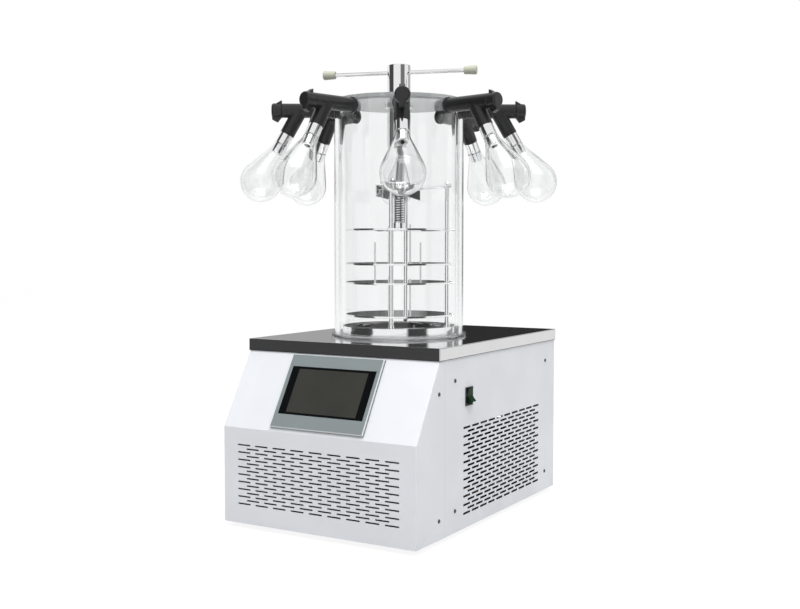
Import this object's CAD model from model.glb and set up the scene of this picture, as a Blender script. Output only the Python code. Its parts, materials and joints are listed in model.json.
# Benchtop freeze dryer: detailed pieces, finishes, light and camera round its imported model.

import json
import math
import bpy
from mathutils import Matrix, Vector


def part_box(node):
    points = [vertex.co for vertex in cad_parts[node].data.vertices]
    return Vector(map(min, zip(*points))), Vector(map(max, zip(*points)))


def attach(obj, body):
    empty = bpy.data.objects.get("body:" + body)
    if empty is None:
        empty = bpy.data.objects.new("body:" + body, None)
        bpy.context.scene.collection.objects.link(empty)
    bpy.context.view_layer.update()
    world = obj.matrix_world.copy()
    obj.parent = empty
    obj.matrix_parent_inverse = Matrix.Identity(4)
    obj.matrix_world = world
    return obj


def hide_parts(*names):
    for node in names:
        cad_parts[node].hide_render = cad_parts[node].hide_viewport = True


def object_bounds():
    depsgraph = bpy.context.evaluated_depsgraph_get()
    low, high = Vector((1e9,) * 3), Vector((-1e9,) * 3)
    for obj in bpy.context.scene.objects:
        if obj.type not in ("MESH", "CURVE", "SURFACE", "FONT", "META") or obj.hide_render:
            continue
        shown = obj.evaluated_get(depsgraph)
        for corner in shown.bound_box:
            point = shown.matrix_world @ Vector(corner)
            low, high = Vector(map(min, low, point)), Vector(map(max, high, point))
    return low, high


bl_info = {
    "name": "Freeze Dryer",
    "version": (1, 0, 0),
    "blender": (4, 5, 0),
    "location": "View3D > Sidebar > Freeze Dryer",
    "description": "Models and finishes a benchtop freeze dryer with its rack, valves and flasks",
    "category": "Object",
}

import bpy
from bpy.props import FloatProperty, FloatVectorProperty, IntProperty, PointerProperty
from mathutils import Matrix, Vector

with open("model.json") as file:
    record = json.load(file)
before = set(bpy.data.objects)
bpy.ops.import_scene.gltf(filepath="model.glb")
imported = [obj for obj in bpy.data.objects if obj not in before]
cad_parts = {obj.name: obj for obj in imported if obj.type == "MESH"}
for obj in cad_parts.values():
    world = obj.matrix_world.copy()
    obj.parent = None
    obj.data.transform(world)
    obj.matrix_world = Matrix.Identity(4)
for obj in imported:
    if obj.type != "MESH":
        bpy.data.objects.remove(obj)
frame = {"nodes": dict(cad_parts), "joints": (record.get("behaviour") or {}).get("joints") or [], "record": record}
CAD_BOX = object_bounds()
NODES = frame["nodes"]
JOINTS = {joint["name"]: joint for joint in frame["joints"]}
BODY_OF = {
    node: body
    for body, nodes in frame["record"]["behaviour"]["bodies"].items()
    for node in nodes
}
SLOT_OF = {part["node"]: part["material_slot"] for part in frame["record"]["subparts"]}
VALVES = [name for name in JOINTS if name.startswith("valve_")]

# ---------------------------------------------------------------- sizes and colours


class EdgeSettings(bpy.types.PropertyGroup):
    fold: FloatProperty(
        name="Fold",
        description="Outer radius of the folds in the sheet metal",
        default=0.0022,
        unit="LENGTH",
    )
    machined: FloatProperty(
        name="Machined edge",
        description="Broken edge of turned and milled metal",
        default=0.0004,
        unit="LENGTH",
    )
    moulded: FloatProperty(
        name="Moulded edge",
        description="Edge radius of moulded plastic and rubber",
        default=0.0009,
        unit="LENGTH",
    )
    steps: IntProperty(
        name="Edge steps",
        description="Faces across a rounded edge",
        default=3,
        min=1,
        max=6,
    )


class ScrewSettings(bpy.types.PropertyGroup):
    lead: FloatProperty(
        name="Lead",
        description="Distance that the press foot travels in one turn",
        default=0.005,
        unit="LENGTH",
    )
    depth: FloatProperty(
        name="Thread depth",
        description="Depth of the thread",
        default=0.0016,
        unit="LENGTH",
    )
    hexagon: FloatProperty(
        name="Drive radius",
        description="Radius across the corners of the hexagonal drive",
        default=0.009,
        unit="LENGTH",
    )
    drive: FloatProperty(
        name="Drive length",
        description="Length of the hexagonal drive",
        default=0.07,
        unit="LENGTH",
    )
    journal: FloatProperty(
        name="Journal radius",
        description="Radius of the plain end in the press foot",
        default=0.006,
        unit="LENGTH",
    )
    tip: FloatProperty(
        name="Journal length",
        description="Length of the plain end in the press foot",
        default=0.0113,
        unit="LENGTH",
    )


class HandleSettings(bpy.types.PropertyGroup):
    cap: FloatProperty(
        name="Cap length",
        description="Length of a rubber cap on the handle's bar",
        default=0.027,
        unit="LENGTH",
    )


class FlaskSettings(bpy.types.PropertyGroup):
    branch: FloatProperty(
        name="Branch radius",
        description="Distance from the chamber's axis to the root of a valve's branch",
        default=0.211,
        unit="LENGTH",
    )
    tilt: FloatProperty(
        name="Tilt",
        description="Lean of the branch from upright",
        default=math.radians(29.5),
        subtype="ANGLE",
    )
    mouth: FloatProperty(
        name="Mouth",
        description="Distance down the branch to the flask's mouth",
        default=0.084,
        unit="LENGTH",
    )
    neck: FloatProperty(
        name="Neck length",
        description="Straight length of the neck",
        default=0.008,
        unit="LENGTH",
    )
    length: FloatProperty(
        name="Length",
        description="Length of the flask",
        default=0.133,
        unit="LENGTH",
    )
    neck_radius: FloatProperty(
        name="Neck radius",
        description="Outer radius of the neck",
        default=0.0149,
        unit="LENGTH",
    )
    bulb_radius: FloatProperty(
        name="Bulb radius",
        description="Outer radius of the bulb",
        default=0.044,
        unit="LENGTH",
    )
    wall: FloatProperty(
        name="Wall",
        description="Thickness of the glass",
        default=0.0018,
        unit="LENGTH",
    )
    shoulder: FloatProperty(
        name="Shoulder",
        description="Radius of the bend between neck and cone",
        default=0.05,
        unit="LENGTH",
    )


class ScreenSettings(bpy.types.PropertyGroup):
    frame_width: FloatProperty(
        name="Frame width",
        description="Width of the touch screen's frame",
        default=0.217,
        unit="LENGTH",
    )
    frame_height: FloatProperty(
        name="Frame height",
        description="Height of the touch screen's frame along the slope",
        default=0.16,
        unit="LENGTH",
    )
    frame_depth: FloatProperty(
        name="Frame depth",
        description="How far the frame stands out from the slope",
        default=0.006,
        unit="LENGTH",
    )
    chamfer: FloatProperty(
        name="Chamfer",
        description="Width of the bright chamfer round the frame",
        default=0.0017,
        unit="LENGTH",
    )
    gasket: FloatProperty(
        name="Gasket",
        description="Depth of the dark gasket between frame and slope",
        default=0.002,
        unit="LENGTH",
    )
    display_width: FloatProperty(
        name="Display width",
        description="Width of the lit area under the glass",
        default=0.163,
        unit="LENGTH",
    )
    display_height: FloatProperty(
        name="Display height",
        description="Height of the lit area under the glass",
        default=0.094,
        unit="LENGTH",
    )


class FinishSettings(bpy.types.PropertyGroup):
    paint: FloatVectorProperty(
        name="Paint",
        description="Powder coat of the cabinet",
        default=(0.84, 0.86, 0.9),
        subtype="COLOR",
    )
    steel: FloatVectorProperty(
        name="Steel",
        description="Stainless steel",
        default=(0.92, 0.92, 0.925),
        subtype="COLOR",
    )
    plate: FloatVectorProperty(
        name="Plate",
        description="Stainless steel of the top plate",
        default=(0.68, 0.68, 0.685),
        subtype="COLOR",
    )
    rubber: FloatVectorProperty(
        name="Rubber",
        description="Moulded rubber of the valves",
        default=(0.012, 0.012, 0.013),
        subtype="COLOR",
    )
    screen_frame: FloatVectorProperty(
        name="Screen frame",
        description="Frame round the touch screen",
        default=(0.245, 0.28, 0.288),
        subtype="COLOR",
    )
    screen: FloatVectorProperty(
        name="Screen",
        description="Lit area under the black glass",
        default=(0.046, 0.046, 0.0415),
        subtype="COLOR",
    )
    edge: FloatVectorProperty(
        name="Chamfer colour",
        description="Bright chamfer round the touch screen's frame",
        default=(0.68, 0.72, 0.73),
        subtype="COLOR",
    )
    grip: FloatVectorProperty(
        name="Grips",
        description="Rubber caps of the handle",
        default=(0.5, 0.52, 0.42),
        subtype="COLOR",
    )
    rocker: FloatVectorProperty(
        name="Rocker",
        description="Rocker of the power switch",
        default=(0.004, 0.022, 0.008),
        subtype="COLOR",
    )


class StageSettings(bpy.types.PropertyGroup):
    lens: FloatProperty(
        name="Lens",
        description="Focal length in millimetres",
        default=49.16,
    )
    place: FloatVectorProperty(
        name="Camera",
        description="Place of the camera",
        default=(1.201, -2.032, 0.571),
        subtype="TRANSLATION",
    )
    turn: FloatProperty(
        name="Turn",
        description="Direction of the camera, from the front towards the right",
        default=math.radians(30.53),
        subtype="ANGLE",
    )
    pitch: FloatProperty(
        name="Pitch",
        description="How far the camera looks down",
        default=math.radians(3.13),
        subtype="ANGLE",
    )
    ambient: FloatProperty(
        name="Ambient",
        description="Even light from all round",
        default=0.55,
    )
    key: FloatProperty(
        name="Key light",
        description="Power of the large light overhead",
        default=96.0,
        unit="POWER",
    )


class FreezeDryerSettings(bpy.types.PropertyGroup):
    edges: PointerProperty(type=EdgeSettings)
    screw: PointerProperty(type=ScrewSettings)
    handle: PointerProperty(type=HandleSettings)
    flask: PointerProperty(type=FlaskSettings)
    screen: PointerProperty(type=ScreenSettings)
    finishes: PointerProperty(type=FinishSettings)
    stage: PointerProperty(type=StageSettings)


# ---------------------------------------------------------------- modelling by hand


def clear_selection():
    """Leave object mode with nothing selected, so that an operator acts on the new piece alone."""
    if bpy.context.object and bpy.context.object.mode != "OBJECT":
        bpy.ops.object.mode_set(mode="OBJECT")
    bpy.ops.object.select_all(action="DESELECT")


def pick(piece):
    """Make one piece the selected and active one."""
    clear_selection()
    piece.select_set(True)
    bpy.context.view_layer.objects.active = piece


def named(name):
    """Name the piece that an operator has just added."""
    piece = bpy.context.active_object
    piece.name = piece.data.name = name
    return piece


def smooth(piece, angle=35):
    """Shade a piece smooth, with an edge where its faces meet more sharply than the angle."""
    pick(piece)
    bpy.ops.object.shade_smooth_by_angle(angle=math.radians(angle))


def flatten_shading(piece):
    """Let large faces keep their own normals beside small rounded edges."""
    apply(piece, "WEIGHTED_NORMAL", keep_sharp=True, weight=80)


def apply(piece, kind, **values):
    """Add a modifier to a piece and apply it."""
    pick(piece)
    modifier = piece.modifiers.new(kind.title(), kind)
    for key, value in values.items():
        setattr(modifier, key, value)
    bpy.ops.object.modifier_apply(modifier=modifier.name)


def outline(name, points):
    """A chain of edges through points of (radius, height), drawn a vertex at a time."""
    clear_selection()
    bpy.ops.mesh.primitive_plane_add(size=0.01)
    piece = named(name)
    bpy.ops.object.mode_set(mode="EDIT")
    bpy.ops.mesh.select_mode(type="VERT")
    bpy.ops.mesh.merge(type="CENTER")
    bpy.ops.transform.translate(value=(points[0][0], 0, points[0][1]))
    for (x, z), (next_x, next_z) in zip(points, points[1:]):
        step = (next_x - x, 0, next_z - z)
        bpy.ops.mesh.extrude_vertices_move(TRANSFORM_OT_translate={"value": step})
    bpy.ops.object.mode_set(mode="OBJECT")
    return piece


def tidy_mesh(piece, gap=1e-6):
    """Merge doubles and turn every face outwards."""
    pick(piece)
    bpy.ops.object.mode_set(mode="EDIT")
    bpy.ops.mesh.select_all(action="SELECT")
    bpy.ops.mesh.remove_doubles(threshold=gap)
    bpy.ops.mesh.normals_make_consistent(inside=False)
    bpy.ops.object.mode_set(mode="OBJECT")


def lathe(name, points, steps=64):
    """A turned piece: an outline spun round Z, starting and ending on the axis or closed."""
    piece = outline(name, points)
    bpy.ops.object.mode_set(mode="EDIT")
    bpy.ops.mesh.select_all(action="SELECT")
    bpy.ops.mesh.spin(steps=steps, angle=math.tau, center=(0, 0, 0), axis=(0, 0, 1))
    bpy.ops.object.mode_set(mode="OBJECT")
    tidy_mesh(piece)
    smooth(piece)
    return piece


def bend(centre, radius, start, end, steps=6):
    """Points of (radius, height) along an arc, angles in degrees from the outward direction."""
    return [
        (
            centre[0] + radius * math.cos(math.radians(start + (end - start) * i / steps)),
            centre[1] + radius * math.sin(math.radians(start + (end - start) * i / steps)),
        )
        for i in range(steps + 1)
    ]


def placed(piece, place):
    """Put a piece modelled at the origin in its place, in its mesh."""
    piece.data.transform(place)
    piece.data.update()
    return piece


def copies(piece, names, places):
    """The same piece in several places, each copy with its own mesh."""
    made = []
    for name, place in zip(names, places):
        pick(piece)
        bpy.ops.object.duplicate(linked=False)
        made.append(placed(named(name), place))
    bpy.data.objects.remove(piece)
    return made


def facing(direction, at):
    """The place of a piece whose own Z points in a direction."""
    return Matrix.Translation(at) @ Vector(direction).to_track_quat("Z", "Y").to_matrix().to_4x4()


def copy_of(node, name):
    """A merged copy of a CAD node with whole flat faces, ready to be shaped further."""
    piece = bpy.data.objects.new(name, NODES[node].data.copy())
    piece.data.name = name
    bpy.context.scene.collection.objects.link(piece)
    pick(piece)
    bpy.ops.mesh.customdata_custom_splitnormals_clear()
    bpy.ops.object.mode_set(mode="EDIT")
    bpy.ops.mesh.select_all(action="SELECT")
    bpy.ops.mesh.remove_doubles(threshold=2e-5)
    bpy.ops.mesh.dissolve_limited(angle_limit=math.radians(0.5))
    bpy.ops.object.mode_set(mode="OBJECT")
    return piece


def solids(node):
    """The box of each separate solid of a CAD node, as its lowest and highest corners."""
    mesh = NODES[node].data
    home = {}
    group = {}

    def root(key):
        while group[key] != key:
            key = group[key]
        return key

    for vertex in mesh.vertices:
        key = tuple(round(value, 6) for value in vertex.co)
        home[vertex.index] = key
        group.setdefault(key, key)
    for face in mesh.polygons:
        first = root(home[face.vertices[0]])
        for vertex in face.vertices[1:]:
            group[root(home[vertex])] = first
    found = {}
    for key in group:
        found.setdefault(root(key), []).append(key)
    boxes = [
        (Vector(map(min, zip(*corners))), Vector(map(max, zip(*corners))))
        for corners in found.values()
    ]
    return sorted(boxes, key=lambda box: tuple(round(value, 4) for value in box[0]))


def middle(box):
    """The centre of a box."""
    return (box[0] + box[1]) / 2


def finish_of(slot):
    """The finish built for a material slot."""
    return bpy.data.materials[slot + "_finish"]


def finish_piece(piece, nodes):
    """Dress a piece, let it stand for its CAD nodes and ride on their body."""
    slot = SLOT_OF[nodes[0]]
    piece.data.materials.clear()
    piece.data.materials.append(finish_of(slot))
    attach(piece, BODY_OF[nodes[0]])
    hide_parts(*nodes)


def dress(*nodes):
    """Give CAD nodes the finish of their slots."""
    for node in nodes:
        NODES[node].material_slots[0].material = finish_of(SLOT_OF[node])


def round_edges(node, radius, steps=2, angle=32, shade=32):
    """A copy of a CAD node with all its sharp edges rounded, in the node's place."""
    piece = copy_of(node, node + "_rounded")
    apply(
        piece,
        "BEVEL",
        width=radius,
        segments=steps,
        limit_method="ANGLE",
        angle_limit=math.radians(angle),
        use_clamp_overlap=False,
        harden_normals=False,
    )
    smooth(piece, shade)
    flatten_shading(piece)
    finish_piece(piece, [node])
    return piece


def fold_edges(node, radius, steps, open_sides):
    """A copy of a sheet metal node with its folds rounded, apart from the rims on its open sides."""
    piece = copy_of(node, node + "_folded")
    low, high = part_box(node)
    reach = high.x - 1e-5
    pick(piece)
    mesh = piece.data
    bpy.ops.object.mode_set(mode="EDIT")
    bpy.ops.mesh.select_mode(type="EDGE")
    bpy.ops.mesh.select_all(action="DESELECT")
    bpy.ops.object.mode_set(mode="OBJECT")
    for edge in mesh.edges:
        a, b = (mesh.vertices[i].co for i in edge.vertices)
        on_rim = any(
            abs(a[axis] - level) < 1e-5 and abs(b[axis] - level) < 1e-5
            for axis, level in (
                (axis, (high if upper else low)[axis]) for axis, upper in open_sides
            )
        )
        outside = abs(a.x) > reach and abs(b.x) > reach
        edge.select = outside and not on_rim and (a - b).length > 0.02
    bpy.ops.object.mode_set(mode="EDIT")
    bpy.ops.mesh.bevel(offset=radius, segments=steps, profile=0.5, affect="EDGES")
    bpy.ops.object.mode_set(mode="OBJECT")
    smooth(piece, 30)
    flatten_shading(piece)
    finish_piece(piece, [node])
    return piece


# ---------------------------------------------------------------- shared surface effects


def new_group(name, inputs, outputs):
    """An empty node group with named sockets, and its input and output nodes."""
    group = bpy.data.node_groups.new(name, "ShaderNodeTree")
    for label, kind, value in inputs:
        socket = group.interface.new_socket(label, in_out="INPUT", socket_type=kind)
        if value is not None:
            socket.default_value = value
    for label, kind in outputs:
        group.interface.new_socket(label, in_out="OUTPUT", socket_type=kind)
    return group, group.nodes.new("NodeGroupInput"), group.nodes.new("NodeGroupOutput")


FLOAT, COLOUR, VECTOR = "NodeSocketFloat", "NodeSocketColor", "NodeSocketVector"


def add(tree, kind, **values):
    """A node of a kind, with its settings."""
    node = tree.nodes.new("ShaderNode" + kind)
    for key, value in values.items():
        setattr(node, key, value)
    return node


def math_node(tree, operation, *values):
    """A Math node with plain numbers or sockets as its inputs; gives its result."""
    node = add(tree, "Math", operation=operation)
    for socket, value in zip(node.inputs, values):
        if isinstance(value, bpy.types.NodeSocket):
            tree.links.new(value, socket)
        else:
            socket.default_value = value
    return node.outputs[0]


def build_grain():
    """Fine even grain, as on powder coat, moulded plastic and rubber."""
    group, given, out = new_group(
        "Fine Grain",
        [
            ("Vector", VECTOR, None),
            ("Size", FLOAT, 0.001),
            ("Roughness", FLOAT, 0.4),
            ("Spread", FLOAT, 0.1),
        ],
        [("Height", FLOAT), ("Roughness", FLOAT)],
    )
    noise = add(group, "TexNoise", noise_dimensions="3D")
    noise.inputs["Detail"].default_value = 3.0
    group.links.new(given.outputs["Vector"], noise.inputs["Vector"])
    scale = math_node(group, "DIVIDE", 1.0, given.outputs["Size"])
    group.links.new(scale, noise.inputs["Scale"])
    centred = math_node(group, "SUBTRACT", noise.outputs["Fac"], 0.5)
    spread = math_node(group, "MULTIPLY", centred, given.outputs["Spread"])
    rough = math_node(group, "ADD", spread, given.outputs["Roughness"])
    group.links.new(noise.outputs["Fac"], out.inputs["Height"])
    group.links.new(rough, out.inputs["Roughness"])
    return group


def build_brushing():
    """Fine lines along one direction, as left by a belt or a lathe."""
    group, given, out = new_group(
        "Brushed Lines",
        [
            ("Vector", VECTOR, None),
            ("Stretch", VECTOR, (20.0, 2000.0, 2000.0)),
            ("Roughness", FLOAT, 0.25),
            ("Spread", FLOAT, 0.15),
        ],
        [("Height", FLOAT), ("Roughness", FLOAT)],
    )
    stretched = add(group, "VectorMath", operation="MULTIPLY")
    group.links.new(given.outputs["Vector"], stretched.inputs[0])
    group.links.new(given.outputs["Stretch"], stretched.inputs[1])
    noise = add(group, "TexNoise", noise_dimensions="3D")
    noise.inputs["Scale"].default_value = 1.0
    noise.inputs["Detail"].default_value = 4.0
    group.links.new(stretched.outputs[0], noise.inputs["Vector"])
    centred = math_node(group, "SUBTRACT", noise.outputs["Fac"], 0.5)
    spread = math_node(group, "MULTIPLY", centred, given.outputs["Spread"])
    rough = math_node(group, "ADD", spread, given.outputs["Roughness"])
    group.links.new(noise.outputs["Fac"], out.inputs["Height"])
    group.links.new(rough, out.inputs["Roughness"])
    return group


def build_handling():
    """Broad soft patches where a surface has been wiped and touched."""
    group, given, out = new_group(
        "Handling",
        [
            ("Vector", VECTOR, None),
            ("Size", FLOAT, 0.08),
            ("Color", COLOUR, (0.5, 0.5, 0.5, 1)),
            ("Shade", FLOAT, 0.95),
            ("Roughness", FLOAT, 0.4),
            ("Spread", FLOAT, 0.1),
        ],
        [("Color", COLOUR), ("Roughness", FLOAT), ("Mask", FLOAT)],
    )
    noise = add(group, "TexNoise", noise_dimensions="3D")
    noise.inputs["Detail"].default_value = 2.0
    group.links.new(given.outputs["Vector"], noise.inputs["Vector"])
    scale = math_node(group, "DIVIDE", 1.0, given.outputs["Size"])
    group.links.new(scale, noise.inputs["Scale"])
    mask = add(group, "MapRange", interpolation_type="SMOOTHSTEP")
    mask.inputs["From Min"].default_value = 0.35
    mask.inputs["From Max"].default_value = 0.65
    group.links.new(noise.outputs["Fac"], mask.inputs["Value"])
    darker = add(group, "MixRGB", blend_type="MULTIPLY")
    darker.inputs["Fac"].default_value = 1.0
    group.links.new(given.outputs["Color"], darker.inputs["Color1"])
    group.links.new(given.outputs["Shade"], darker.inputs["Color2"])
    mixed = add(group, "MixRGB", blend_type="MIX")
    group.links.new(mask.outputs["Result"], mixed.inputs["Fac"])
    group.links.new(given.outputs["Color"], mixed.inputs["Color1"])
    group.links.new(darker.outputs["Color"], mixed.inputs["Color2"])
    centred = math_node(group, "SUBTRACT", mask.outputs["Result"], 0.5)
    spread = math_node(group, "MULTIPLY", centred, given.outputs["Spread"])
    rough = math_node(group, "ADD", spread, given.outputs["Roughness"])
    group.links.new(mixed.outputs["Color"], out.inputs["Color"])
    group.links.new(rough, out.inputs["Roughness"])
    group.links.new(mask.outputs["Result"], out.inputs["Mask"])
    return group


def new_material(slot):
    """The finish of a slot, with its Principled shader and the place on the piece."""
    material = bpy.data.materials.new(slot + "_finish")
    material.use_nodes = True
    tree = material.node_tree
    place = add(tree, "TexCoord").outputs["Object"]
    return material, tree, tree.nodes["Principled BSDF"], place


def use(tree, name, place, **values):
    """A shared effect placed in a material with its own values."""
    node = add(tree, "Group", node_tree=bpy.data.node_groups[name])
    tree.links.new(place, node.inputs["Vector"])
    for label, value in values.items():
        node.inputs[label].default_value = value
    return node


def bump(tree, shader, height, depth, strength=1.0):
    """Raise the surface by a height field of a depth in metres."""
    node = add(tree, "Bump")
    node.inputs["Strength"].default_value = strength
    node.inputs["Distance"].default_value = depth
    tree.links.new(height, node.inputs["Height"])
    tree.links.new(node.outputs["Normal"], shader.inputs["Normal"])


def opaque(colour):
    """A colour with full alpha."""
    return (*colour[:3], 1.0)


def coated(name, colour, rough, size, depth, spread=0.08, shade=0.97, coat=0.0, shine=0.5, dark=None):
    """Paint, plastic or rubber: handling marks over a fine grain, and dark where a mask says so."""
    material, tree, shader, place = new_material(name)
    handling = use(
        tree,
        "Handling",
        place,
        Size=0.12,
        Color=opaque(colour),
        Shade=shade,
        Roughness=rough,
        Spread=spread,
    )
    grain = use(tree, "Fine Grain", place, Size=size)
    tone = handling.outputs["Color"]
    if dark:
        tone = blend(tree, dark(tree, place), tone, (0.012, 0.012, 0.013))
    tree.links.new(tone, shader.inputs["Base Color"])
    tree.links.new(handling.outputs["Roughness"], shader.inputs["Roughness"])
    bump(tree, shader, grain.outputs["Height"], depth)
    shader.inputs["Coat Weight"].default_value = coat
    shader.inputs["Specular IOR Level"].default_value = shine
    return material


def metal(name, colour, rough, stretch, depth, spread=0.1, shade=0.97, dark=None):
    """Bare metal with brushed lines under faint handling marks, and dark where a mask says so."""
    material, tree, shader, place = new_material(name)
    brushed = use(tree, "Brushed Lines", place, Stretch=stretch, Roughness=rough, Spread=spread)
    handling = use(tree, "Handling", place, Size=0.09, Color=opaque(colour), Shade=shade)
    tone = handling.outputs["Color"]
    if dark:
        tone = blend(tree, dark(tree, place), tone, (0.02, 0.02, 0.02))
    tree.links.new(tone, shader.inputs["Base Color"])
    tree.links.new(brushed.outputs["Roughness"], shader.inputs["Roughness"])
    bump(tree, shader, brushed.outputs["Height"], depth)
    shader.inputs["Metallic"].default_value = 1.0
    return material


def clear(name, colour, ior, rough, depth, absorbed, density):
    """Clear material with faint waves and a tint that deepens with thickness; lamps shine through."""
    material, tree, shader, place = new_material(name)
    waves = use(tree, "Fine Grain", place, Size=0.05, Roughness=rough, Spread=rough)
    tree.links.new(waves.outputs["Roughness"], shader.inputs["Roughness"])
    bump(tree, shader, waves.outputs["Height"], depth)
    shader.inputs["Base Color"].default_value = opaque(colour)
    shader.inputs["Transmission Weight"].default_value = 1.0
    shader.inputs["IOR"].default_value = ior
    absorption = add(tree, "VolumeAbsorption")
    absorption.inputs["Color"].default_value = opaque(absorbed)
    absorption.inputs["Density"].default_value = density
    output = tree.nodes["Material Output"]
    tree.links.new(absorption.outputs["Volume"], output.inputs["Volume"])
    open_to_lamps = add(tree, "BsdfTransparent")
    open_to_lamps.inputs["Color"].default_value = opaque(colour)
    mix = add(tree, "MixShader")
    tree.links.new(add(tree, "LightPath").outputs["Is Shadow Ray"], mix.inputs["Fac"])
    tree.links.new(shader.outputs["BSDF"], mix.inputs[1])
    tree.links.new(open_to_lamps.outputs["BSDF"], mix.inputs[2])
    tree.links.new(mix.outputs["Shader"], output.inputs["Surface"])
    return material


def spangled_zinc():
    """Dipped zinc with its pattern of crystals."""
    material, tree, shader, place = new_material("galvanised_steel")
    cells = add(tree, "TexVoronoi", feature="F1")
    cells.inputs["Scale"].default_value = 90.0
    tree.links.new(place, cells.inputs["Vector"])
    tone = add(tree, "MapRange")
    tone.inputs["To Min"].default_value = 0.2
    tone.inputs["To Max"].default_value = 0.34
    tree.links.new(cells.outputs["Color"], tone.inputs["Value"])
    tree.links.new(tone.outputs["Result"], shader.inputs["Base Color"])
    rough = add(tree, "MapRange")
    rough.inputs["To Min"].default_value = 0.38
    rough.inputs["To Max"].default_value = 0.55
    tree.links.new(cells.outputs["Color"], rough.inputs["Value"])
    tree.links.new(rough.outputs["Result"], shader.inputs["Roughness"])
    shader.inputs["Metallic"].default_value = 1.0
    return material


def cell_foam():
    """Rigid foam with fine closed cells."""
    material, tree, shader, place = new_material("foam")
    cells = add(tree, "TexVoronoi", feature="F1")
    cells.inputs["Scale"].default_value = 700.0
    tree.links.new(place, cells.inputs["Vector"])
    handling = use(
        tree, "Handling", place, Size=0.05, Color=(0.03, 0.03, 0.032, 1), Shade=0.85, Roughness=0.9
    )
    tree.links.new(handling.outputs["Color"], shader.inputs["Base Color"])
    tree.links.new(handling.outputs["Roughness"], shader.inputs["Roughness"])
    bump(tree, shader, cells.outputs["Distance"], 0.0006)
    return material


def panel_axes(tree, place, node):
    """Distances across, out of and up a node on the sloping front, measured from its middle."""
    front = max(NODES["screen_glass"].data.polygons, key=lambda face: face.area).normal
    lean = math.atan2(abs(front.z), abs(front.y))
    low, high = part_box(node)
    shifted = add(tree, "VectorMath", operation="SUBTRACT")
    shifted.inputs[1].default_value = (low + high) / 2
    turned = add(tree, "Mapping", vector_type="POINT")
    turned.inputs["Rotation"].default_value = (lean, 0, 0)
    parts = add(tree, "SeparateXYZ")
    tree.links.new(place, shifted.inputs[0])
    tree.links.new(shifted.outputs[0], turned.inputs["Vector"])
    tree.links.new(turned.outputs["Vector"], parts.inputs["Vector"])
    return [parts.outputs[axis] for axis in "XYZ"]


def within(tree, value, limit, soft=0.0002):
    """A mask of 1 where a value lies under a limit."""
    edge = add(tree, "MapRange", interpolation_type="SMOOTHSTEP")
    edge.inputs["From Min"].default_value = limit - soft
    edge.inputs["From Max"].default_value = limit + soft
    edge.inputs["To Min"].default_value = 1.0
    edge.inputs["To Max"].default_value = 0.0
    tree.links.new(value, edge.inputs["Value"])
    return edge.outputs["Result"]


def blend(tree, mask, first, second):
    """A colour that goes from the first to the second with a mask."""
    mix = add(tree, "MixRGB", blend_type="MIX")
    for label, value in (("Fac", mask), ("Color1", first), ("Color2", second)):
        if isinstance(value, bpy.types.NodeSocket):
            tree.links.new(value, mix.inputs[label])
        else:
            mix.inputs[label].default_value = opaque(value)
    return mix.outputs["Color"]


def inside_sheet(*limits):
    """A mask of the inner side, the slot walls and the cut rim of a sheet metal piece.

    Each limit is an axis, its outward sign (0 for both ways) and the level that the mask stops at.
    """

    def mask(tree, place):
        parts = add(tree, "SeparateXYZ")
        tree.links.new(place, parts.inputs["Vector"])
        inner = None
        for axis, sign, level in limits:
            value = parts.outputs[axis]
            if sign:
                outward = math_node(tree, "MULTIPLY", value, sign)
            else:
                outward = math_node(tree, "ABSOLUTE", value)
            part = within(tree, outward, level, 0.00005)
            inner = part if inner is None else math_node(tree, "MULTIPLY", inner, part)
        return inner

    return mask


def thread_roots(node, depth):
    """A mask of the dark roots of a thread round the axis of a node."""

    def mask(tree, place):
        low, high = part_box(node)
        radius = (high.x - low.x) / 2
        shifted = add(tree, "VectorMath", operation="SUBTRACT")
        shifted.inputs[1].default_value = middle((low, high))
        flat = add(tree, "VectorMath", operation="MULTIPLY")
        flat.inputs[1].default_value = (1, 1, 0)
        length = add(tree, "VectorMath", operation="LENGTH")
        tree.links.new(place, shifted.inputs[0])
        tree.links.new(shifted.outputs[0], flat.inputs[0])
        tree.links.new(flat.outputs[0], length.inputs[0])
        return within(tree, length.outputs["Value"], radius - depth * 0.72, depth * 0.1)

    return mask


def display_glass(finishes, sizes):
    """Black glass with the display's area a little lighter under it."""
    material, tree, shader, place = new_material("screen_glass")
    across, _, up = panel_axes(tree, place, "screen_glass")
    inside = [
        within(tree, math_node(tree, "ABSOLUTE", value), half)
        for value, half in ((across, sizes.display_width / 2), (up, sizes.display_height / 2))
    ]
    mask = math_node(tree, "MULTIPLY", *inside)
    handling = use(
        tree,
        "Handling",
        place,
        Size=0.06,
        Color=opaque(finishes.screen),
        Shade=0.9,
        Roughness=0.09,
        Spread=0.05,
    )
    colour = blend(tree, mask, (0.003, 0.0035, 0.004), handling.outputs["Color"])
    tree.links.new(colour, shader.inputs["Base Color"])
    tree.links.new(handling.outputs["Roughness"], shader.inputs["Roughness"])
    shader.inputs["Specular IOR Level"].default_value = 0.3
    return material


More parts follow.
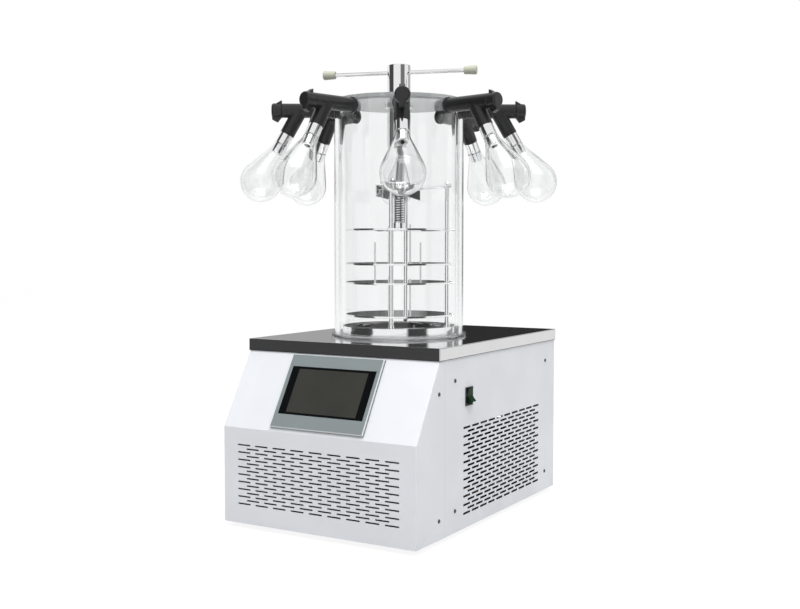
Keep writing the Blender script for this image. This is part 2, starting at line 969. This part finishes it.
def chamfered_frame(finishes, sizes):
    """Grey paint with a bare bright chamfer round it and a dark gasket where it meets the panel."""
    material, tree, shader, place = new_material("screen_grey")
    across, out, up = panel_axes(tree, place, "screen_frame")
    handling = use(
        tree, "Handling", place, Size=0.12, Color=opaque(finishes.screen_frame), Roughness=0.36
    )
    grain = use(tree, "Fine Grain", place, Size=0.0005)
    face = [
        within(tree, math_node(tree, "ABSOLUTE", value), half - sizes.chamfer)
        for value, half in ((across, sizes.frame_width / 2), (up, sizes.frame_height / 2))
    ]
    sloping = math_node(tree, "SUBTRACT", 1.0, math_node(tree, "MULTIPLY", *face))
    near_face = within(tree, out, sizes.chamfer - sizes.frame_depth / 2)
    chamfer = math_node(tree, "MULTIPLY", sloping, near_face)
    edged = blend(tree, chamfer, handling.outputs["Color"], finishes.edge)
    gasket = within(tree, math_node(tree, "MULTIPLY", out, -1.0), sizes.gasket - sizes.frame_depth / 2)
    colour = blend(tree, gasket, edged, (0.02, 0.024, 0.025))
    tree.links.new(colour, shader.inputs["Base Color"])
    tree.links.new(handling.outputs["Roughness"], shader.inputs["Roughness"])
    bump(tree, shader, grain.outputs["Height"], 0.00001)
    return material


# ---------------------------------------------------------------- operators


class FREEZEDRYER_OT_finishes(bpy.types.Operator):
    """Build the shared surface effects and one material for each finish"""

    bl_idname = "freeze_dryer.finishes"
    bl_label = "Finishes"
    bl_options = {"REGISTER", "UNDO"}

    def execute(self, context):
        finishes = context.scene.freeze_dryer.finishes
        build_grain()
        build_brushing()
        build_handling()
        along_x, along_z, even = (15, 1800, 1800), (1800, 1800, 15), (900, 900, 900)
        coated("white_paint", finishes.paint, 0.42, 0.0011, 0.00004, coat=0.05)
        skin, flange = 0.00015, 0.02
        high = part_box("side_panel_right")[1]
        slotted = inside_sheet(("X", 0, high.x - skin))
        coated("panel_paint", finishes.paint, 0.42, 0.0011, 0.00004, coat=0.05, dark=slotted)
        low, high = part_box("front_cover")
        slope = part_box("screen_frame")[0].z - 0.012
        slotted = inside_sheet(("X", 0, high.x - flange), ("Y", -1, -low.y - skin), ("Z", 1, slope))
        coated("cover_paint", finishes.paint, 0.42, 0.0011, 0.00004, coat=0.05, dark=slotted)
        coated("black_paint", (0.012, 0.012, 0.013), 0.38, 0.0012, 0.00005)
        coated("valve_rubber", finishes.rubber, 0.36, 0.0006, 0.00002, shade=0.8, shine=0.42)
        coated("black_rubber", (0.012, 0.012, 0.012), 0.65, 0.0006, 0.00006, shade=0.8, shine=0.3)
        coated("grip_rubber", finishes.grip, 0.55, 0.0007, 0.00005, shade=0.93)
        chamfered_frame(finishes, context.scene.freeze_dryer.screen)
        coated("inner_plastic", (0.04, 0.04, 0.042), 0.5, 0.0009, 0.00004)
        coated("black_plastic", (0.008, 0.009, 0.008), 0.33, 0.0007, 0.00002, shine=0.25)
        coated("green_plastic", finishes.rocker, 0.2, 0.0012, 0.00001, shine=0.06)
        coated("red_plastic", (0.45, 0.03, 0.02), 0.4, 0.0007, 0.00003)
        metal("stainless_steel", finishes.steel, 0.05, even, 0.000001, spread=0.04)
        metal("polished_steel", finishes.steel, 0.03, along_x, 0.000001, spread=0.03)
        cut = 0.0009
        rim = inside_sheet(("Z", 1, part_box("top_plate")[0].z + cut))
        metal("plate_steel", finishes.plate, 0.06, along_x, 0.0000015, spread=0.05, dark=rim)
        roots = thread_roots("press_screw", context.scene.freeze_dryer.screw.depth)
        metal("threaded_steel", finishes.steel, 0.06, even, 0.000001, spread=0.04, dark=roots)
        metal("screw_steel", (0.1, 0.1, 0.105), 0.35, even, 0.000005)
        metal("chrome", (0.82, 0.82, 0.83), 0.05, along_z, 0.000001, spread=0.03)
        metal("copper", (0.42, 0.2, 0.12), 0.3, even, 0.000006, shade=0.8)
        metal("brass", (0.75, 0.53, 0.24), 0.26, even, 0.000005, shade=0.85)
        metal("aluminium_fins", (0.16, 0.16, 0.165), 0.4, along_z, 0.000005)
        spangled_zinc()
        cell_foam()
        display_glass(finishes, context.scene.freeze_dryer.screen)
        clear("clear_acrylic", (0.985, 0.99, 0.992), 1.49, 0.004, 0.00003, (0.35, 0.4, 0.42), 3.0)
        lid = clear("lid_acrylic", (0.62, 0.625, 0.63), 1.49, 0.1, 0.00008, (0.35, 0.4, 0.42), 3.0)
        lid.node_tree.nodes["Principled BSDF"].inputs["Transmission Weight"].default_value = 0.7
        seal = clear("seal_rubber", (0.97, 0.975, 0.98), 1.08, 0.03, 0.00003, (0.6, 0.62, 0.64), 2.0)
        seal.node_tree.nodes["Principled BSDF"].inputs["Transmission Weight"].default_value = 0.88
        clear("clear_glass", (0.965, 0.97, 0.97), 1.5, 0.01, 0.00006, (0.3, 0.36, 0.36), 7.0)
        return {"FINISHED"}


class FREEZEDRYER_OT_cabinet(bpy.types.Operator):
    """Fold the cabinet's panels and give them their powder coat"""

    bl_idname = "freeze_dryer.cabinet"
    bl_label = "Cabinet"
    bl_options = {"REGISTER", "UNDO"}

    def execute(self, context):
        edges = context.scene.freeze_dryer.edges
        top, bottom, front, back = (2, True), (2, False), (1, False), (1, True)
        cover = fold_edges("front_cover", edges.fold, edges.steps, [top, bottom, back])
        cover.material_slots[0].material = finish_of("cover_paint")
        fold_edges("rear_panel", edges.fold, edges.steps, [top, bottom, front])
        dress("side_panel_left", "side_panel_right", "chassis")
        for node in ("side_panel_left", "side_panel_right"):
            NODES[node].material_slots[0].material = finish_of("panel_paint")
        return {"FINISHED"}


class FREEZEDRYER_OT_top_plate(bpy.types.Operator):
    """Fold the lip of the steel top plate"""

    bl_idname = "freeze_dryer.top_plate"
    bl_label = "Top Plate"
    bl_options = {"REGISTER", "UNDO"}

    def execute(self, context):
        edges = context.scene.freeze_dryer.edges
        plate = fold_edges("top_plate", edges.fold * 0.7, edges.steps, [(2, False)])
        plate.material_slots[0].material = finish_of("plate_steel")
        return {"FINISHED"}


class FREEZEDRYER_OT_cabinet_screws(bpy.types.Operator):
    """Turn a pan head screw with a cross recess and put one in each hole"""

    bl_idname = "freeze_dryer.cabinet_screws"
    bl_label = "Cabinet Screws"
    bl_options = {"REGISTER", "UNDO"}

    def execute(self, context):
        boxes = solids("cabinet_screws")
        low, high = boxes[0]
        head = (high.y - low.y) / 2
        length = high.x - low.x
        rise = head * 0.45
        shank = head / 2
        dome = bend((head - rise, 0), rise, 0, 90, 5)
        points = [(0, rise - length), (shank * 0.8, rise - length), (shank, rise - length + shank * 0.3)]
        points += [(shank, 0), (head, 0), *dome[1:], (0, rise)]
        screw = lathe("screw_model", points, 32)
        for turn in (0, 90):
            clear_selection()
            bpy.ops.mesh.primitive_cube_add(size=1, location=(0, 0, rise))
            slot = named("recess")
            slot.scale = (head * 1.1, head * 0.22, rise * 1.3)
            slot.rotation_euler.z = math.radians(turn)
            bpy.ops.object.transform_apply()
            apply(screw, "BOOLEAN", operation="DIFFERENCE", object=slot, solver="EXACT")
            bpy.data.objects.remove(slot)
        smooth(screw, 40)
        places = []
        for box in boxes:
            centre, span = middle(box), box[1] - box[0]
            if span.x > span.y:
                side = math.copysign(1, centre.x)
                outer = box[1].x if side > 0 else box[0].x
                places.append(facing((side, 0, 0), (outer - side * rise, centre.y, centre.z)))
            else:
                places.append(facing((0, 1, 0), (centre.x, box[1].y - rise, centre.z)))
        names = [f"cabinet_screw_{i + 1}" for i in range(len(places))]
        for piece in copies(screw, names, places):
            finish_piece(piece, ["cabinet_screws"])
        return {"FINISHED"}


class FREEZEDRYER_OT_feet(bpy.types.Operator):
    """Turn the four rubber feet"""

    bl_idname = "freeze_dryer.feet"
    bl_label = "Feet"
    bl_options = {"REGISTER", "UNDO"}

    def execute(self, context):
        boxes = solids("rubber_feet")
        low, high = boxes[0]
        radius, height = (high.x - low.x) / 2, high.z - low.z
        lip = height * 0.15
        points = [(0, lip), (radius * 0.55, lip), (radius * 0.62, 0), (radius * 0.8, 0)]
        points += bend((radius * 0.8, lip), lip, -90, -20, 4)[1:]
        points += [(radius, height * 0.8), (radius - lip, height), (0, height)]
        foot = lathe("foot_model", points, 48)
        places = [Matrix.Translation((middle(box).x, middle(box).y, box[0].z)) for box in boxes]
        names = [f"rubber_foot_{i + 1}" for i in range(len(places))]
        for piece in copies(foot, names, places):
            finish_piece(piece, ["rubber_feet"])
        return {"FINISHED"}


class FREEZEDRYER_OT_screen(bpy.types.Operator):
    """Round the frame of the touch screen and finish its glass"""

    bl_idname = "freeze_dryer.screen"
    bl_label = "Touch Screen"
    bl_options = {"REGISTER", "UNDO"}

    def execute(self, context):
        edges = context.scene.freeze_dryer.edges
        round_edges("screen_frame", edges.machined, edges.steps, angle=25)
        dress("screen_glass", "screen_housing")
        return {"FINISHED"}


class FREEZEDRYER_OT_switch(bpy.types.Operator):
    """Round the power switch's frame and rocker"""

    bl_idname = "freeze_dryer.switch"
    bl_label = "Power Switch"
    bl_options = {"REGISTER", "UNDO"}

    def execute(self, context):
        edges = context.scene.freeze_dryer.edges
        round_edges("switch_frame", edges.machined, edges.steps)
        round_edges("switch_rocker", edges.machined, edges.steps, angle=50)
        return {"FINISHED"}


class FREEZEDRYER_OT_chamber(bpy.types.Operator):
    """Finish the clear chamber, its lid, its seal and the bushing in the lid"""

    bl_idname = "freeze_dryer.chamber"
    bl_label = "Chamber"
    bl_options = {"REGISTER", "UNDO"}

    def execute(self, context):
        edges = context.scene.freeze_dryer.edges
        dress("chamber_cylinder")
        lid = round_edges("chamber_lid", edges.machined * 2, edges.steps)
        lid.material_slots[0].material = finish_of("lid_acrylic")
        round_edges("seal_ring", edges.moulded, edges.steps)
        round_edges("lid_bushing", edges.machined, edges.steps)
        return {"FINISHED"}


class FREEZEDRYER_OT_handle(bpy.types.Operator):
    """Finish the handle's tube and bar and turn its rubber caps"""

    bl_idname = "freeze_dryer.handle"
    bl_label = "Handle"
    bl_options = {"REGISTER", "UNDO"}

    def execute(self, context):
        edges = context.scene.freeze_dryer.edges
        round_edges("handle_tube", edges.machined, edges.steps)
        dress("handle_bar")
        boxes = solids("handle_caps")
        bar_low, bar_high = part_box("handle_bar")
        bar = (bar_high.z - bar_low.z) / 2 + 0.0001
        radius = (boxes[0][1].z - boxes[0][0].z) / 2
        across = middle(boxes[1]) - middle(boxes[0])
        along = across.normalized()
        length = context.scene.freeze_dryer.handle.cap
        end = radius * 0.28
        points = [(0, length * 0.62), (bar, length * 0.62), (bar, 0), (radius * 0.86 - 0.0006, 0)]
        points += [(radius * 0.86, 0.0006), (radius, length - end)]
        points += bend((radius - end, length - end), end, 0, 90, 6)[1:]
        points += [(0, length)]
        cap = lathe("cap_model", points, 64)
        places = []
        for sign, box in ((-1, boxes[0]), (1, boxes[1])):
            places.append(facing(along * sign, middle(box) - along * sign * length / 2))
        for piece in copies(cap, ["handle_cap_left", "handle_cap_right"], places):
            finish_piece(piece, ["handle_caps"])
        return {"FINISHED"}


class FREEZEDRYER_OT_press(bpy.types.Operator):
    """Cut the press screw's thread and finish the foot under it"""

    bl_idname = "freeze_dryer.press"
    bl_label = "Press"
    bl_options = {"REGISTER", "UNDO"}

    def execute(self, context):
        sizes = context.scene.freeze_dryer.screw
        edges = context.scene.freeze_dryer.edges
        low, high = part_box("press_screw")
        radius = (high.x - low.x) / 2
        start = low.z + sizes.tip
        end = high.z - sizes.drive
        root, lead = radius - sizes.depth, sizes.lead
        flat = lead / 8
        ridge = [
            (root, 0),
            (root, flat),
            (radius, lead / 2 - flat),
            (radius, lead / 2 + flat),
            (root, lead - flat),
            (root, lead),
        ]
        screw = outline("press_screw_threaded", [(r, z + start - lead) for r, z in ridge])
        turns = math.ceil((end - start) / lead) + 2
        apply(
            screw,
            "SCREW",
            axis="Z",
            angle=math.tau,
            screw_offset=lead,
            iterations=turns,
            steps=48,
            render_steps=48,
            use_merge_vertices=True,
            merge_threshold=1e-6,
        )
        tidy_mesh(screw)
        for level, outer in ((start, False), (end, True)):
            bpy.ops.object.mode_set(mode="EDIT")
            bpy.ops.mesh.select_all(action="SELECT")
            bpy.ops.mesh.bisect(
                plane_co=(0, 0, level),
                plane_no=(0, 0, 1),
                use_fill=True,
                clear_inner=not outer,
                clear_outer=outer,
            )
            bpy.ops.object.mode_set(mode="OBJECT")
        tidy_mesh(screw)
        ends = (
            ("drive", 6, sizes.hexagon, end, high.z),
            ("journal", 48, sizes.journal, low.z, start),
        )
        parts = [screw]
        for name, sides, size, bottom, top in ends:
            clear_selection()
            sunk = 0.0005
            depth = top - bottom + sunk
            centre = (top + bottom + (sunk if name == "journal" else -sunk)) / 2
            bpy.ops.mesh.primitive_cylinder_add(
                vertices=sides, radius=size, depth=depth, location=(0, 0, centre)
            )
            part = named(name)
            bpy.ops.object.transform_apply()
            apply(part, "BEVEL", width=0.0006, segments=2, limit_method="ANGLE")
            parts.append(part)
        clear_selection()
        for part in parts:
            part.select_set(True)
        bpy.context.view_layer.objects.active = screw
        bpy.ops.object.join()
        smooth(screw, 25)
        finish_piece(screw, ["press_screw"])
        screw.material_slots[0].material = finish_of("threaded_steel")
        round_edges("press_foot", edges.machined, edges.steps)
        return {"FINISHED"}


class FREEZEDRYER_OT_rack(bpy.types.Operator):
    """Break the edges of the rack's shelves, bridge, nuts and base"""

    bl_idname = "freeze_dryer.rack"
    bl_label = "Rack"
    bl_options = {"REGISTER", "UNDO"}

    def execute(self, context):
        edges = context.scene.freeze_dryer.edges
        for node in ("shelf_1", "shelf_2", "shelf_3", "shelf_4", "bridge_plate", "bridge_nut"):
            round_edges(node, edges.machined, 2)
        for node in ("rack_base", "post_nuts", "rack_posts"):
            round_edges(node, edges.machined, 2)
        dress("shelf_1_pins", "shelf_2_pins", "shelf_3_pins")
        return {"FINISHED"}


class FREEZEDRYER_OT_valves(bpy.types.Operator):
    """Round the rubber valves and their knobs, and finish the flask adapters"""

    bl_idname = "freeze_dryer.valves"
    bl_label = "Valves"
    bl_options = {"REGISTER", "UNDO"}

    def execute(self, context):
        edges = context.scene.freeze_dryer.edges
        round_edges("valve_bodies", edges.moulded, edges.steps)
        for i in range(len(VALVES)):
            round_edges(f"valve_knob_{i + 1}", edges.moulded, edges.steps)
        round_edges("valve_adapters", edges.machined, 2, angle=25)
        return {"FINISHED"}


class FREEZEDRYER_OT_flasks(bpy.types.Operator):
    """Blow one pear shaped flask and hang one on each valve"""

    bl_idname = "freeze_dryer.flasks"
    bl_label = "Flasks"
    bl_options = {"REGISTER", "UNDO"}

    def side(self, sizes, inset):
        """Half of a flask's outline from the neck's top to its base, moved inwards."""
        neck, bulb = sizes.neck_radius - inset, sizes.bulb_radius - inset
        centre = sizes.mouth + sizes.length - sizes.bulb_radius
        neck_end = sizes.mouth + sizes.neck
        rise = centre - neck_end
        touch = math.atan2(neck, rise) + math.acos(bulb / math.hypot(neck, rise))
        slope = math.pi / 2 - touch
        shoulder = sizes.shoulder + inset
        run = shoulder * math.tan(slope / 2)
        points = [
            (
                neck + shoulder * (1 - math.cos(slope * i / 6)),
                neck_end - run + shoulder * math.sin(slope * i / 6),
            )
            for i in range(7)
        ]
        steps = 24
        for i in range(steps + 1):
            turn = touch + (math.pi - touch) * i / steps
            points.append((max(0.0, bulb * math.sin(turn)), centre - bulb * math.cos(turn)))
        return points

    def execute(self, context):
        sizes = context.scene.freeze_dryer.flask
        outer = self.side(sizes, 0)
        inner = self.side(sizes, sizes.wall)
        lip = sizes.wall / 2
        rim = bend((sizes.neck_radius - lip, sizes.mouth + lip), lip, -180, 0, 8)
        points = list(reversed(inner)) + rim + outer
        flask = lathe("flask_model", points, 72)
        smooth(flask, 60)
        places = []
        for name in VALVES:
            joint = JOINTS[name]
            out = Vector(joint["axis"])
            turn = Matrix.Rotation(math.atan2(out.y, out.x), 4, "Z")
            root = Matrix.Translation((sizes.branch, 0, joint["pos_m"][2]))
            lean = Matrix.Rotation(math.pi - sizes.tilt, 4, "Y")
            places.append(turn @ root @ lean)
        names = [f"sample_flask_{i + 1}" for i in range(len(places))]
        for piece in copies(flask, names, places):
            finish_piece(piece, ["sample_flasks"])
        return {"FINISHED"}


class FREEZEDRYER_OT_cold_trap(bpy.types.Operator):
    """Finish the cold trap, its coil, its foam and the cooling machine"""

    bl_idname = "freeze_dryer.cold_trap"
    bl_label = "Cold Trap and Cooling"
    bl_options = {"REGISTER", "UNDO"}

    def execute(self, context):
        dress("trap_vessel", "trap_foam", "evaporator_coil", "compressor", "condenser")
        dress("fan_shroud", "fan_motor", "fan_blades", "refrigerant_pipes")
        NODES["control_box"].material_slots[0].material = finish_of("inner_plastic")
        return {"FINISHED"}


class FREEZEDRYER_OT_services(bpy.types.Operator):
    """Finish the vacuum port, the drain with its valve and the power inlet"""

    bl_idname = "freeze_dryer.services"
    bl_label = "Services"
    bl_options = {"REGISTER", "UNDO"}

    def execute(self, context):
        edges = context.scene.freeze_dryer.edges
        for node in ("vacuum_port", "drain_valve", "drain_lever", "power_inlet"):
            round_edges(node, edges.machined, 2)
        dress("drain_pipe")
        return {"FINISHED"}


def dark_flag(tree, azimuth, height, turns, heights, soft):
    """A mask of 1 where a direction lies between two azimuths and two heights, in degrees."""
    edges = []
    for value, (low, high) in ((azimuth, turns), (height, heights)):
        for level, rising in ((low, True), (high, False)):
            edge = add(tree, "MapRange", interpolation_type="SMOOTHSTEP")
            edge.inputs["From Min"].default_value = level - soft
            edge.inputs["From Max"].default_value = level + soft
            edge.inputs["To Min"].default_value = 0.0 if rising else 1.0
            edge.inputs["To Max"].default_value = 1.0 if rising else 0.0
            tree.links.new(value, edge.inputs["Value"])
            edges.append(edge.outputs["Result"])
    first = math_node(tree, "MULTIPLY", edges[0], edges[1])
    second = math_node(tree, "MULTIPLY", edges[2], edges[3])
    return math_node(tree, "MULTIPLY", first, second)


# Dark flags round the stage: azimuths and heights in degrees, softness, and how dark they are
# for a mirror in the open and for one inside the chamber. On the floor they are seen from a point
# in front of the chamber.
FLAG_CENTRE = (0.22, -0.24, 0.6)
FLAGS = (
    ((-81, -25), (-30, 75), 2.5, 0.93, 0.97),
    ((47, 90), (-30, 30), 4, 0.8, 0.97),
    ((143, 165), (1, 75), 3, 0.8, 0.8),
    ((188, 210), (-4, 14), 3, 0.97, 0.97),
    ((210, 228), (-4, 14), 3, 0.6, 0.95),
)


def build_flags():
    """How much of the white stage is left in a direction, with flags that only reflections see."""
    inputs = [("Vector", VECTOR, None), ("Mirrored", FLOAT, 0.0), ("Enclosed", FLOAT, 0.0)]
    group, given, out = new_group("Dark Flags", inputs, [("Light", FLOAT)])
    enclosed = given.outputs["Enclosed"]
    straight = add(group, "VectorMath", operation="NORMALIZE")
    group.links.new(given.outputs["Vector"], straight.inputs[0])
    parts = add(group, "SeparateXYZ")
    group.links.new(straight.outputs[0], parts.inputs["Vector"])
    x, y, z = (parts.outputs[axis] for axis in "XYZ")
    forward = math_node(group, "MULTIPLY", y, -1.0)
    turn = math_node(group, "DEGREES", math_node(group, "ARCTAN2", x, forward))
    around = math_node(group, "WRAP", turn, 270.0, -90.0)
    height = math_node(group, "DEGREES", math_node(group, "ARCSINE", z))
    light = None
    for turns, heights, soft, depth, inner_depth in FLAGS:
        mask = dark_flag(group, around, height, turns, heights, soft)
        extra = math_node(group, "MULTIPLY", enclosed, inner_depth - depth)
        share = math_node(group, "ADD", extra, depth)
        kept = math_node(group, "SUBTRACT", 1.0, math_node(group, "MULTIPLY", mask, share))
        light = kept if light is None else math_node(group, "MULTIPLY", light, kept)
    seen = add(group, "Mix", data_type="FLOAT")
    group.links.new(given.outputs["Mirrored"], seen.inputs["Factor"])
    seen.inputs["A"].default_value = 1.0
    group.links.new(light, seen.inputs["B"])
    group.links.new(seen.outputs["Result"], out.inputs["Light"])
    return group


def flagged_light(tree, place):
    """The white light from a direction, dimmed by the flags only where a surface mirrors it."""
    path = add(tree, "LightPath")
    through = path.outputs["Transmission Depth"]
    entered = math_node(tree, "GREATER_THAN", through, 0.5)
    enclosed = math_node(tree, "GREATER_THAN", through, 3.5)
    half = math_node(tree, "MULTIPLY", math_node(tree, "SUBTRACT", entered, enclosed), 0.5)
    glossy = math_node(tree, "MINIMUM", path.outputs["Glossy Depth"], 1.0)
    mirrored = math_node(tree, "MULTIPLY", glossy, math_node(tree, "SUBTRACT", 1.0, half))
    flags = use(tree, "Dark Flags", place)
    tree.links.new(mirrored, flags.inputs["Mirrored"])
    tree.links.new(enclosed, flags.inputs["Enclosed"])
    return flags.outputs["Light"]


class FREEZEDRYER_OT_stage(bpy.types.Operator):
    """Set the floor, the soft light, the dark flags that metal mirrors and the camera"""

    bl_idname = "freeze_dryer.stage"
    bl_label = "Stage"
    bl_options = {"REGISTER", "UNDO"}

    def light(self, name, at, size, power):
        """A large soft light that shines at the middle of the machine."""
        lamp = bpy.data.lights.new(name, "AREA")
        lamp.shape = "SQUARE"
        lamp.size = size
        lamp.energy = power
        holder = bpy.data.objects.new(name, lamp)
        bpy.context.scene.collection.objects.link(holder)
        holder.location = at
        aim = middle(CAD_BOX) - Vector(at)
        holder.rotation_euler = aim.to_track_quat("-Z", "Y").to_euler()
        holder.visible_glossy = False
        return holder

    def world(self, ambient):
        """Even white all round, with dark flags that only reflections see."""
        world = bpy.data.worlds.new("Studio")
        world.use_nodes = True
        bpy.context.scene.world = world
        tree = world.node_tree
        light = flagged_light(tree, add(tree, "TexCoord").outputs["Generated"])
        path = add(tree, "LightPath")
        scattered = math_node(tree, "MINIMUM", path.outputs["Diffuse Depth"], 1.0)
        total = add(tree, "Mix", data_type="FLOAT")
        tree.links.new(scattered, total.inputs["Factor"])
        tree.links.new(light, total.inputs["A"])
        total.inputs["B"].default_value = ambient
        tree.links.new(total.outputs["Result"], tree.nodes["Background"].inputs["Strength"])
        tree.nodes["Background"].inputs["Color"].default_value = (1, 1, 1, 1)

    def floor(self):
        """A pale floor that keeps a soft shadow, meets the white background and mirrors the flags."""
        grey, brightness, glowing = 0.5, 1.3, 0.7
        clear_selection()
        bpy.ops.mesh.primitive_plane_add(size=30, location=(0, 0, -0.0003))
        floor = named("floor")
        material, tree, shader, place = new_material("floor")
        below = add(tree, "VectorMath", operation="SUBTRACT")
        tree.links.new(place, below.inputs[0])
        below.inputs[1].default_value = FLAG_CENTRE
        light = flagged_light(tree, below.outputs[0])
        colour = add(tree, "MixRGB", blend_type="MIX")
        colour.inputs["Color1"].default_value = (0, 0, 0, 1)
        colour.inputs["Color2"].default_value = (grey, grey, grey, 1)
        tree.links.new(light, colour.inputs["Fac"])
        tree.links.new(colour.outputs["Color"], shader.inputs["Base Color"])
        shader.inputs["Roughness"].default_value = 1.0
        shader.inputs["Specular IOR Level"].default_value = 0.0
        path = add(tree, "LightPath")
        seen = math_node(tree, "LESS_THAN", path.outputs["Diffuse Depth"], 0.5)
        glow = add(tree, "Emission")
        tree.links.new(math_node(tree, "MULTIPLY", light, brightness), glow.inputs["Strength"])
        mix = add(tree, "MixShader")
        tree.links.new(math_node(tree, "MULTIPLY", seen, glowing), mix.inputs["Fac"])
        tree.links.new(shader.outputs["BSDF"], mix.inputs[1])
        tree.links.new(glow.outputs["Emission"], mix.inputs[2])
        tree.links.new(mix.outputs["Shader"], tree.nodes["Material Output"].inputs["Surface"])
        floor.data.materials.append(material)

    def execute(self, context):
        stage = context.scene.freeze_dryer.stage
        build_flags()
        self.floor()
        self.world(stage.ambient)
        self.light("key_light", (0.75, -0.9, 3.2), 2.6, stage.key)
        camera = bpy.data.objects.new("camera", bpy.data.cameras.new("camera"))
        context.scene.collection.objects.link(camera)
        camera.data.lens = stage.lens
        camera.data.sensor_width = 36.0
        camera.location = stage.place
        camera.rotation_euler = (math.pi / 2 - stage.pitch, 0, stage.turn)
        context.scene.camera = camera
        context.scene.view_settings.view_transform = "Standard"
        return {"FINISHED"}


OPERATORS = (
    FREEZEDRYER_OT_finishes,
    FREEZEDRYER_OT_cabinet,
    FREEZEDRYER_OT_top_plate,
    FREEZEDRYER_OT_cabinet_screws,
    FREEZEDRYER_OT_feet,
    FREEZEDRYER_OT_screen,
    FREEZEDRYER_OT_switch,
    FREEZEDRYER_OT_chamber,
    FREEZEDRYER_OT_handle,
    FREEZEDRYER_OT_press,
    FREEZEDRYER_OT_rack,
    FREEZEDRYER_OT_valves,
    FREEZEDRYER_OT_flasks,
    FREEZEDRYER_OT_cold_trap,
    FREEZEDRYER_OT_services,
    FREEZEDRYER_OT_stage,
)


class FREEZEDRYER_PT_sidebar(bpy.types.Panel):
    """Sizes, colours and steps of the freeze dryer"""

    bl_label = "Freeze Dryer"
    bl_idname = "FREEZEDRYER_PT_sidebar"
    bl_space_type = "VIEW_3D"
    bl_region_type = "UI"
    bl_category = "Freeze Dryer"

    def draw(self, context):
        settings = context.scene.freeze_dryer
        groups = (
            settings.edges,
            settings.screw,
            settings.handle,
            settings.flask,
            settings.screen,
            settings.finishes,
            settings.stage,
        )
        for group in groups:
            box = self.layout.box()
            for name in group.bl_rna.properties.keys():
                if name not in ("rna_type", "name"):
                    box.prop(group, name)
        for operator in OPERATORS:
            self.layout.operator(operator.bl_idname)


CLASSES = (
    EdgeSettings,
    ScrewSettings,
    HandleSettings,
    FlaskSettings,
    ScreenSettings,
    FinishSettings,
    StageSettings,
    FreezeDryerSettings,
    *OPERATORS,
    FREEZEDRYER_PT_sidebar,
)


def register():
    for item in CLASSES:
        bpy.utils.register_class(item)
    bpy.types.Scene.freeze_dryer = PointerProperty(type=FreezeDryerSettings)


def unregister():
    del bpy.types.Scene.freeze_dryer
    for item in reversed(CLASSES):
        bpy.utils.unregister_class(item)


def main():
    register()
    for operator in OPERATORS:
        group, name = operator.bl_idname.split(".")
        result = getattr(getattr(bpy.ops, group), name)()
        if result != {"FINISHED"}:
            raise RuntimeError(f"{operator.bl_label} did not finish")
    clear_selection()


if __name__ == "__main__":
    main()
